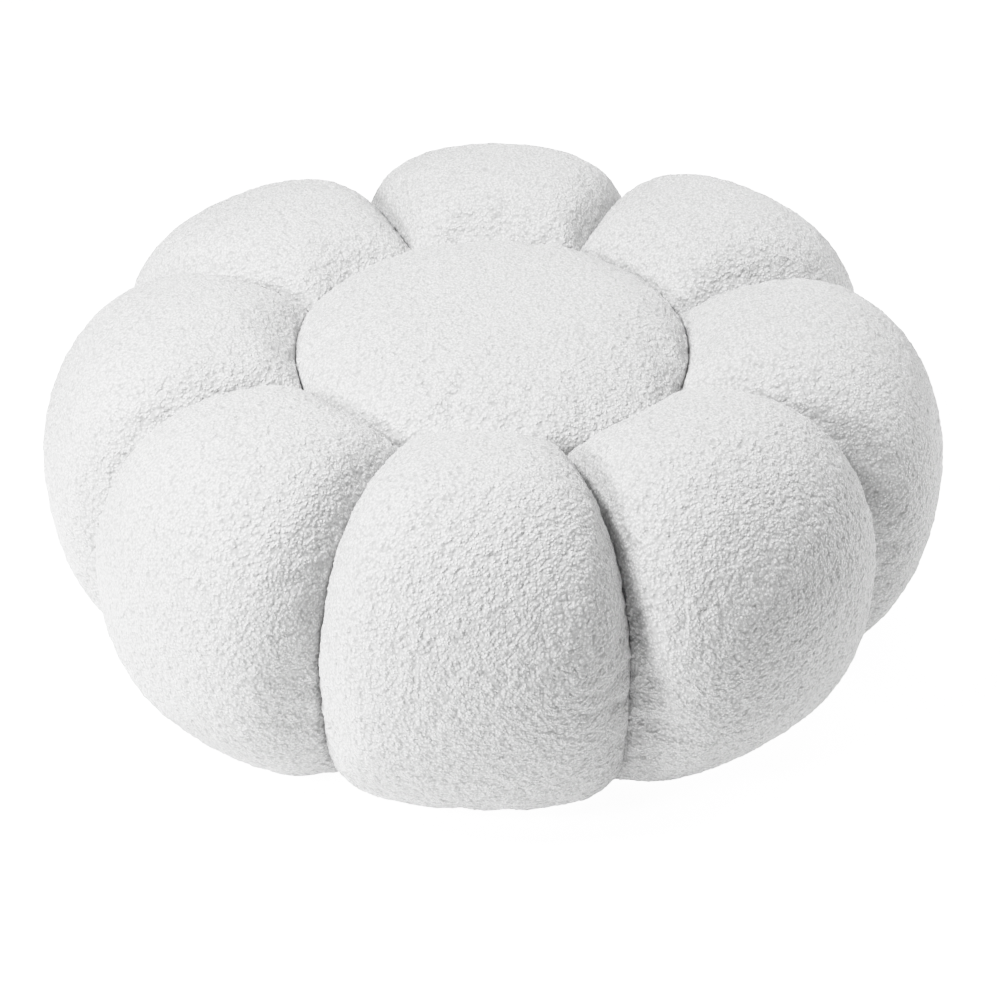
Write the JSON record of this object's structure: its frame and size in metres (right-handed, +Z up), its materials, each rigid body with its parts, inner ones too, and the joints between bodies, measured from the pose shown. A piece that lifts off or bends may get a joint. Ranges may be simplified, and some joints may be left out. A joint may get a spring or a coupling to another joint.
{
  "type": "pouf",
  "caption": "Low flower-shaped pouf: a round crown cushion ringed by fat stuffed petals, covered in off-white curly fleece, flat underneath.",
  "frame": {"origin": "on the floor, under the middle of the crown cushion", "axes": "+Z up, -Y out through the front petal, +X to the right of someone facing that petal"},
  "size_m": [0.8074, 0.7878, 0.311],
  "materials": {
    "fleece": "matt curly pile"
  },
  "bodies": {
    "root": {"crown": "fleece", "petal_front": "fleece", "petal_front_right": "fleece", "petal_right": "fleece", "petal_back_right": "fleece", "petal_back": "fleece", "petal_back_left": "fleece", "petal_left": "fleece", "petal_front_left": "fleece"}
  },
  "joints": []
}
